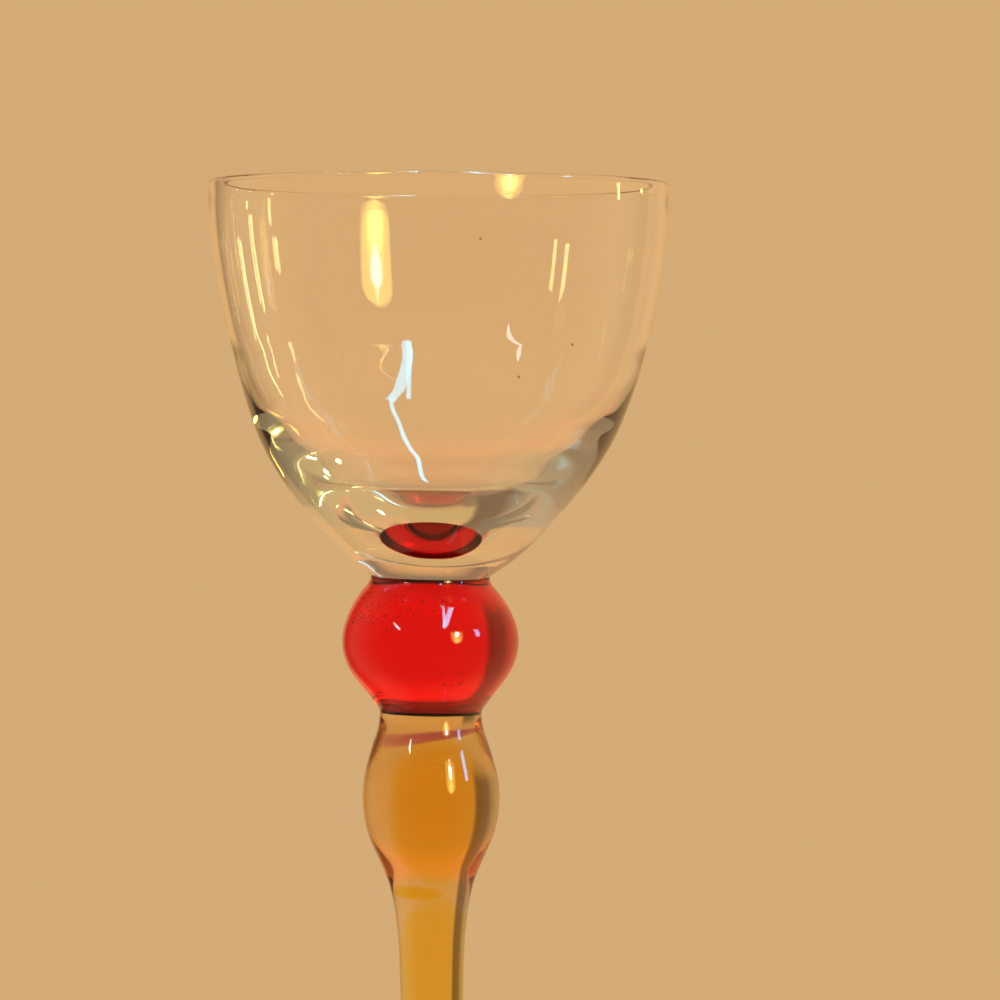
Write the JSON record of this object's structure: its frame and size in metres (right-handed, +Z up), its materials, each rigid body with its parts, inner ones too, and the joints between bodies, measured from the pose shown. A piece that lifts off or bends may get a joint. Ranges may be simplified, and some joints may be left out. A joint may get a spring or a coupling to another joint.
{
  "type": "cordial glass",
  "caption": "Small stemmed cordial glass: clear bowl with a thick solid base, round ruby knop, long amber baluster stem over a core of deeper amber, and a wide clear disc foot.",
  "frame": {"origin": "centre of the foot, on the plane that the glass rests on", "axes": "+Z up along the stem, the bowl leans a little towards +X, and -Y is the side that faced the camera"},
  "size_m": [0.06, 0.06, 0.1505],
  "materials": {
    "clear_glass": "fire-polished clear glass",
    "ruby_glass": "transparent ruby-red solid glass",
    "amber_glass": "transparent pale amber glass",
    "deep_amber_glass": "transparent deep amber glass, cased in paler glass"
  },
  "bodies": {
    "root": {"bowl": "clear_glass", "ruby_knop": "ruby_glass", "amber_stem": "amber_glass", "amber_core": "deep_amber_glass", "foot": "clear_glass"}
  },
  "joints": []
}
